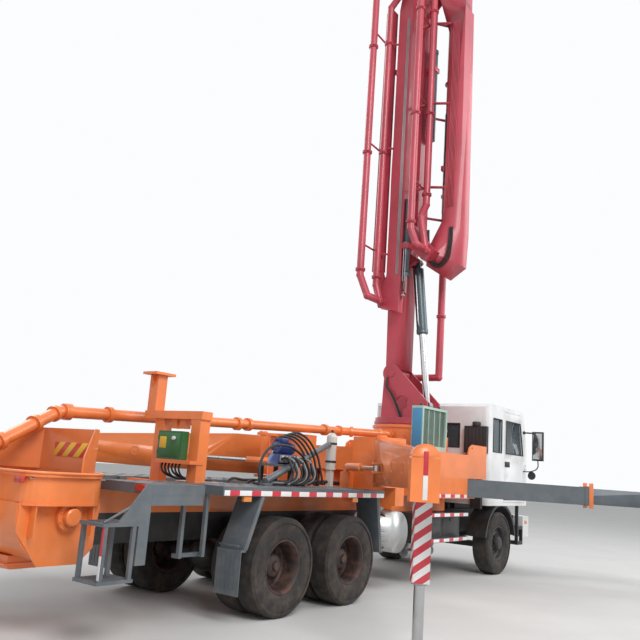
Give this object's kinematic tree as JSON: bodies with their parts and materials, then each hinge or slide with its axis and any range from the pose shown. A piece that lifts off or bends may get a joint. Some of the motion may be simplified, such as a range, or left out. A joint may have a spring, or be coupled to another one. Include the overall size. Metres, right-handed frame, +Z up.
{
  "type": "concrete pump truck",
  "caption": "Three-axle truck with a concrete pump, rear hopper, folding placing boom raised behind the cab and outriggers set down",
  "frame": {"origin": "on the ground under the middle of the machine's box", "axes": "+X to the front of the truck, +Y to its left, +Z up"},
  "size_m": [10.9383, 8.1708, 11.5615],
  "materials": {
    "paint_orange": "satin",
    "paint_crimson": "satin",
    "paint_grey": "satin",
    "paint_white": "gloss",
    "paint_black": "satin",
    "paint_green": "satin",
    "steel": "satin",
    "chrome_rod": "polished",
    "glass_dark": "clear",
    "tyre": "matte",
    "plastic_black": "matte",
    "aluminium": "satin",
    "cylinder_teal": "satin"
  },
  "bodies": {
    "truck": {"chassis": "paint_black", "front_axle": "paint_black", "rear_axles": "paint_black", "engine": "paint_black", "cab_shell": "paint_white", "cab_front": "paint_white", "cab_glass": "glass_dark", "cab_interior": "plastic_black", "air_intake": "plastic_black", "subframe": "paint_orange", "swing_columns": "paint_orange", "beam_boxes": "paint_orange", "deck": "paint_grey", "fenders": "paint_grey", "rear_steps": "paint_grey", "side_tanks": "aluminium", "hopper": "paint_orange", "pump_unit": "paint_orange", "delivery_pipe": "paint_orange", "gantry": "paint_orange", "control_cabinet": "paint_green", "valve_block": "paint_grey", "accumulator": "steel", "oil_cooler": "aluminium"},
    "agitator": {"agitator": "steel"},
    "knuckle_l": {"knuckle_l": "paint_black"},
    "knuckle_r": {"knuckle_r": "paint_black"},
    "wheel_fl": {"wheel_fl": "tyre"},
    "wheel_fr": {"wheel_fr": "tyre"},
    "wheel_ml": {"wheel_ml": "tyre"},
    "wheel_mr": {"wheel_mr": "tyre"},
    "wheel_rl": {"wheel_rl": "tyre"},
    "wheel_rr": {"wheel_rr": "tyre"},
    "door_l": {"door_l": "paint_white"},
    "door_r": {"door_r": "paint_white"},
    "beam_1_l": {"beam_1_l": "paint_grey"},
    "beam_1_r": {"beam_1_r": "paint_grey"},
    "beam_2_l": {"beam_2_l": "paint_grey"},
    "beam_2_r": {"beam_2_r": "paint_grey"},
    "jack_fl": {"jack_fl": "chrome_rod"},
    "jack_fr": {"jack_fr": "chrome_rod"},
    "arm_l": {"arm_l": "paint_orange"},
    "arm_r": {"arm_r": "paint_orange"},
    "jack_rl": {"jack_rl": "chrome_rod"},
    "jack_rr": {"jack_rr": "chrome_rod"},
    "swing_barrel_l": {"swing_barrel_l": "paint_orange"},
    "swing_barrel_r": {"swing_barrel_r": "paint_orange"},
    "swing_rod_l": {"swing_rod_l": "chrome_rod"},
    "swing_rod_r": {"swing_rod_r": "chrome_rod"},
    "turret": {"turret": "paint_crimson"},
    "boom_1": {"boom_1": "paint_crimson"},
    "boom_2": {"boom_2": "paint_crimson"},
    "boom_3": {"boom_3": "paint_crimson"},
    "boom_4": {"boom_4": "paint_crimson"},
    "boom_5": {"boom_5": "paint_crimson"},
    "lift_barrel": {"lift_barrel": "cylinder_teal"},
    "lift_rod": {"lift_rod": "chrome_rod"}
  },
  "joints": [
    {"name": "steer_l", "type": "hinge", "parent": "truck", "child": "knuckle_l", "pos_m": [4.08825, 0.88, 0.542], "axis": [0, 0, 1], "range_deg": [-38, 38]},
    {"name": "steer_r", "type": "hinge", "parent": "truck", "child": "knuckle_r", "pos_m": [4.08825, -0.88, 0.542], "axis": [0, 0, 1], "range_deg": [-38, 38]},
    {"name": "spin_fl", "type": "hinge", "parent": "knuckle_l", "child": "wheel_fl", "pos_m": [4.08825, 1.03, 0.542], "axis": [0, 1, 0], "continuous": true},
    {"name": "spin_fr", "type": "hinge", "parent": "knuckle_r", "child": "wheel_fr", "pos_m": [4.08825, -1.03, 0.542], "axis": [0, 1, 0], "continuous": true},
    {"name": "spin_ml", "type": "hinge", "parent": "truck", "child": "wheel_ml", "pos_m": [-0.84175, 0.92, 0.542], "axis": [0, 1, 0], "continuous": true},
    {"name": "spin_mr", "type": "hinge", "parent": "truck", "child": "wheel_mr", "pos_m": [-0.84175, -0.92, 0.542], "axis": [0, 1, 0], "continuous": true},
    {"name": "spin_rl", "type": "hinge", "parent": "truck", "child": "wheel_rl", "pos_m": [-2.19175, 0.92, 0.542], "axis": [0, 1, 0], "continuous": true},
    {"name": "spin_rr", "type": "hinge", "parent": "truck", "child": "wheel_rr", "pos_m": [-2.19175, -0.92, 0.542], "axis": [0, 1, 0], "continuous": true},
    {"name": "hinge_door_l", "type": "hinge", "parent": "truck", "child": "door_l", "pos_m": [5.23325, 1.216, 2.085], "axis": [0, 0, -1], "range_deg": [0, 65]},
    {"name": "hinge_door_r", "type": "hinge", "parent": "truck", "child": "door_r", "pos_m": [5.23325, -1.216, 2.085], "axis": [0, 0, 1], "range_deg": [0, 65]},
    {"name": "agitator_spin", "type": "hinge", "parent": "truck", "child": "agitator", "pos_m": [-4.67175, 0, 1.07], "axis": [0, 1, 0], "continuous": true},
    {"name": "extend_1_l", "type": "slide", "parent": "truck", "child": "beam_1_l", "axis": [-0.6018, -0.7986, 0], "range_m": [0, 1.74]},
    {"name": "extend_2_l", "type": "slide", "parent": "beam_1_l", "child": "beam_2_l", "axis": [-0.6018, -0.7986, 0], "range_m": [0, 1.2]},
    {"name": "lift_jack_fl", "type": "slide", "parent": "beam_2_l", "child": "jack_fl", "axis": [0, 0, 1], "range_m": [0, 0.6]},
    {"name": "swing_l", "type": "hinge", "parent": "truck", "child": "arm_l", "pos_m": [-0.02175, 1.1, 1.8], "axis": [0, 0, 1], "range_deg": [0, 38]},
    {"name": "lift_jack_rl", "type": "slide", "parent": "arm_l", "child": "jack_rl", "axis": [0, 0, 1], "range_m": [0, 0.6]},
    {"name": "swing_ram_l", "type": "hinge", "parent": "truck", "child": "swing_barrel_l", "pos_m": [0.10825, 0.45, 1.7], "axis": [0, 0, 1], "range_deg": [0, 25]},
    {"name": "swing_stroke_l", "type": "slide", "parent": "swing_barrel_l", "child": "swing_rod_l", "axis": [0.6705, -0.7419, 0], "range_m": [0, 0.3]},
    {"name": "extend_1_r", "type": "slide", "parent": "truck", "child": "beam_1_r", "axis": [-0.6018, 0.7986, 0], "range_m": [0, 1.74]},
    {"name": "extend_2_r", "type": "slide", "parent": "beam_1_r", "child": "beam_2_r", "axis": [-0.6018, 0.7986, 0], "range_m": [0, 1.2]},
    {"name": "lift_jack_fr", "type": "slide", "parent": "beam_2_r", "child": "jack_fr", "axis": [0, 0, 1], "range_m": [0, 0.6]},
    {"name": "swing_r", "type": "hinge", "parent": "truck", "child": "arm_r", "pos_m": [-0.02175, -1.1, 1.8], "axis": [0, 0, -1], "range_deg": [0, 38]},
    {"name": "lift_jack_rr", "type": "slide", "parent": "arm_r", "child": "jack_rr", "axis": [0, 0, 1], "range_m": [0, 0.6]},
    {"name": "swing_ram_r", "type": "hinge", "parent": "truck", "child": "swing_barrel_r", "pos_m": [0.10825, -0.45, 1.7], "axis": [0, 0, -1], "range_deg": [0, 25]},
    {"name": "swing_stroke_r", "type": "slide", "parent": "swing_barrel_r", "child": "swing_rod_r", "axis": [0.6705, 0.7419, 0], "range_m": [0, 0.3]},
    {"name": "slew", "type": "hinge", "parent": "truck", "child": "turret", "pos_m": [2.71825, 0, 2.48], "axis": [0, 0, 1], "range_deg": [-360, 360]},
    {"name": "boom_lift", "type": "hinge", "parent": "turret", "child": "boom_1", "pos_m": [2.71825, 0.3, 3.44], "axis": [1, 0, 0], "range_deg": [0, 85]},
    {"name": "knee_2", "type": "hinge", "parent": "boom_1", "child": "boom_2", "pos_m": [2.71825, -0.33, 11.4], "axis": [-1, 0, 0], "range_deg": [0, 180]},
    {"name": "knee_3", "type": "hinge", "parent": "boom_2", "child": "boom_3", "pos_m": [2.71825, -0.45, 5.62], "axis": [-1, 0, 0], "range_deg": [0, 180]},
    {"name": "knee_4", "type": "hinge", "parent": "boom_3", "child": "boom_4", "pos_m": [2.71825, 0.13, 11.05], "axis": [1, 0, 0], "range_deg": [0, 180]},
    {"name": "knee_5", "type": "hinge", "parent": "boom_4", "child": "boom_5", "pos_m": [2.71825, 0.36, 4.7], "axis": [-1, 0, 0], "range_deg": [0, 180]},
    {"name": "lift_head", "type": "hinge", "parent": "boom_1", "child": "lift_barrel", "pos_m": [2.71825, -0.02, 5.56], "axis": [1, 0, 0], "range_deg": [-5, 0]},
    {"name": "lift_stroke", "type": "slide", "parent": "lift_barrel", "child": "lift_rod", "axis": [0, -0.1141, -0.9935], "range_m": [-1.15, 0]}
  ],
  "couplings": [
    {"joint": "steer_r", "follows": "steer_l", "ratio": 1},
    {"joint": "extend_2_l", "follows": "extend_1_l", "ratio": 0.68966},
    {"joint": "extend_2_r", "follows": "extend_1_r", "ratio": 0.68966},
    {"joint": "swing_ram_l", "follows": "swing_l", "ratio": 0.6548},
    {"joint": "swing_ram_r", "follows": "swing_r", "ratio": 0.6548},
    {"joint": "swing_stroke_l", "follows": "swing_l", "m_per_rad": 0.44872},
    {"joint": "swing_stroke_r", "follows": "swing_r", "m_per_rad": 0.44872},
    {"joint": "knee_3", "follows": "knee_2", "ratio": 1},
    {"joint": "knee_5", "follows": "knee_4", "ratio": 1},
    {"joint": "lift_head", "follows": "boom_lift", "ratio": -0.057729},
    {"joint": "lift_stroke", "follows": "boom_lift", "m_per_rad": -0.77074}
  ]
}
